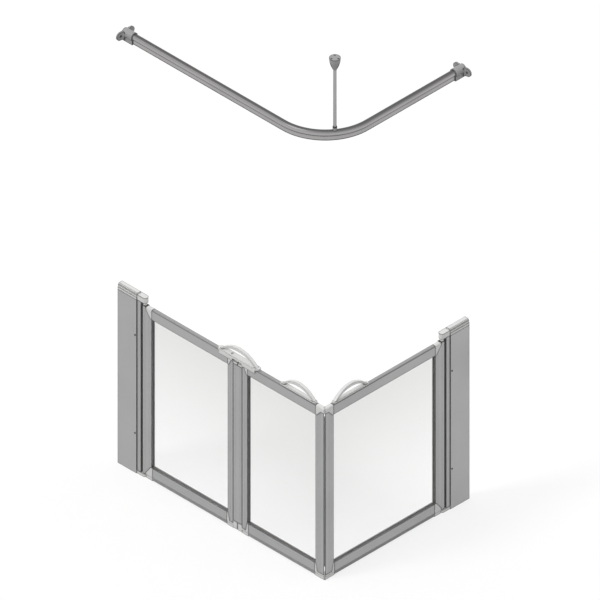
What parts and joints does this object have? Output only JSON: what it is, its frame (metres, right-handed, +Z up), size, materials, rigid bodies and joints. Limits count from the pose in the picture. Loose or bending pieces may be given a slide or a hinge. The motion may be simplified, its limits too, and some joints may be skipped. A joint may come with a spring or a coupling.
{
  "type": "half height shower screen",
  "caption": "Half height corner shower screen with a folding front door, a hinged side door, grab handles and a curved curtain rail above.",
  "frame": {"origin": "middle fixing hole of the front run's wall channel, on the wall face, 363 mm above the tray", "axes": "+X along the front run away from its wall, +Y towards the inside of the shower and the side run's wall, +Z up"},
  "size_m": [1.011, 0.708, 2.102],
  "materials": {
    "channel_aluminium": "satin anodised extrusion",
    "frame_aluminium": "satin anodised extrusion",
    "rail_aluminium": "satin anodised bent extrusion",
    "rod_aluminium": "satin anodised tube",
    "white_plastic": "moulded, semi-gloss",
    "handle_plastic": "moulded, semi-gloss",
    "bracket_plastic": "moulded, fine matte",
    "bush_plastic": "moulded bearing plastic",
    "clear_panel": "clear, smooth",
    "panel_gasket": "soft wedge gasket",
    "bottom_seal": "soft extruded wiper",
    "magnet_strip": "bonded magnet tape",
    "pin_steel": "turned stainless steel",
    "screw_steel": "stainless steel, cross slot",
    "washer_rubber": "soft washer"
  },
  "bodies": {
    "fixed_frame": {"wall_channel_a": "channel_aluminium", "wall_channel_b": "channel_aluminium", "channel_cap_a": "white_plastic", "channel_cap_b": "white_plastic", "hinge_post_a": "frame_aluminium", "hinge_post_b": "frame_aluminium", "hinge_head_a": "white_plastic", "hinge_head_b": "white_plastic", "hinge_foot_a": "white_plastic", "hinge_foot_b": "white_plastic", "pivot_pins": "pin_steel", "post_screws": "screw_steel", "curtain_rail": "rail_aluminium", "rail_bracket_a": "bracket_plastic", "rail_bracket_b": "bracket_plastic", "rail_grub_screws": "screw_steel", "ceiling_rod": "rod_aluminium", "ceiling_flange": "bracket_plastic", "rod_saddle": "bracket_plastic", "rod_washer": "washer_rubber"},
    "inner_leaf": {"inner_leaf_bottom_corners": "white_plastic", "inner_leaf_bottom_rail": "frame_aluminium", "inner_leaf_bottom_seal": "bottom_seal", "inner_leaf_bushes": "bush_plastic", "inner_leaf_fold_stile": "frame_aluminium", "inner_leaf_gasket": "panel_gasket", "inner_leaf_hinge_stile": "frame_aluminium", "inner_leaf_panel": "clear_panel", "inner_leaf_top_corners": "white_plastic", "inner_leaf_top_rail": "frame_aluminium", "fold_handle": "handle_plastic", "fold_handle_screws": "screw_steel"},
    "fold": {"fold_strip": "frame_aluminium", "fold_pins": "pin_steel"},
    "outer_leaf": {"outer_leaf_bottom_corners": "white_plastic", "outer_leaf_bottom_rail": "frame_aluminium", "outer_leaf_bottom_seal": "bottom_seal", "outer_leaf_fold_stile": "frame_aluminium", "outer_leaf_gasket": "panel_gasket", "outer_leaf_handle": "handle_plastic", "outer_leaf_handle_screws": "screw_steel", "outer_leaf_magnet_strip": "magnet_strip", "outer_leaf_meeting_stile": "frame_aluminium", "outer_leaf_panel": "clear_panel", "outer_leaf_top_corners": "white_plastic", "outer_leaf_top_rail": "frame_aluminium"},
    "side_door": {"side_door_bottom_corners": "white_plastic", "side_door_bottom_rail": "frame_aluminium", "side_door_bottom_seal": "bottom_seal", "side_door_bushes": "bush_plastic", "side_door_gasket": "panel_gasket", "side_door_handle": "handle_plastic", "side_door_handle_screws": "screw_steel", "side_door_hinge_stile": "frame_aluminium", "side_door_magnet_strip": "magnet_strip", "side_door_meeting_stile": "frame_aluminium", "side_door_panel": "clear_panel", "side_door_top_corners": "white_plastic", "side_door_top_rail": "frame_aluminium"}
  },
  "joints": [
    {"name": "inner_leaf_hinge", "type": "hinge", "parent": "fixed_frame", "child": "inner_leaf", "pos_m": [0.1192, 0, 0], "axis": [0, 0, -1], "range_deg": [0, 90]},
    {"name": "fold_inner_hinge", "type": "hinge", "parent": "inner_leaf", "child": "fold", "pos_m": [0.55789, 0.0045, 0], "axis": [0, 0, 1], "range_deg": [0, 90]},
    {"name": "fold_outer_hinge", "type": "hinge", "parent": "fold", "child": "outer_leaf", "pos_m": [0.59109, 0.0045, 0], "axis": [0, 0, 1], "range_deg": [0, 90]},
    {"name": "side_door_hinge", "type": "hinge", "parent": "fixed_frame", "child": "side_door", "pos_m": [0.986, 0.5668, 0], "axis": [0, 0, 1], "range_deg": [0, 90]}
  ],
  "couplings": [
    {"joint": "fold_inner_hinge", "follows": "inner_leaf_hinge", "ratio": 1},
    {"joint": "fold_outer_hinge", "follows": "inner_leaf_hinge", "ratio": 1}
  ]
}
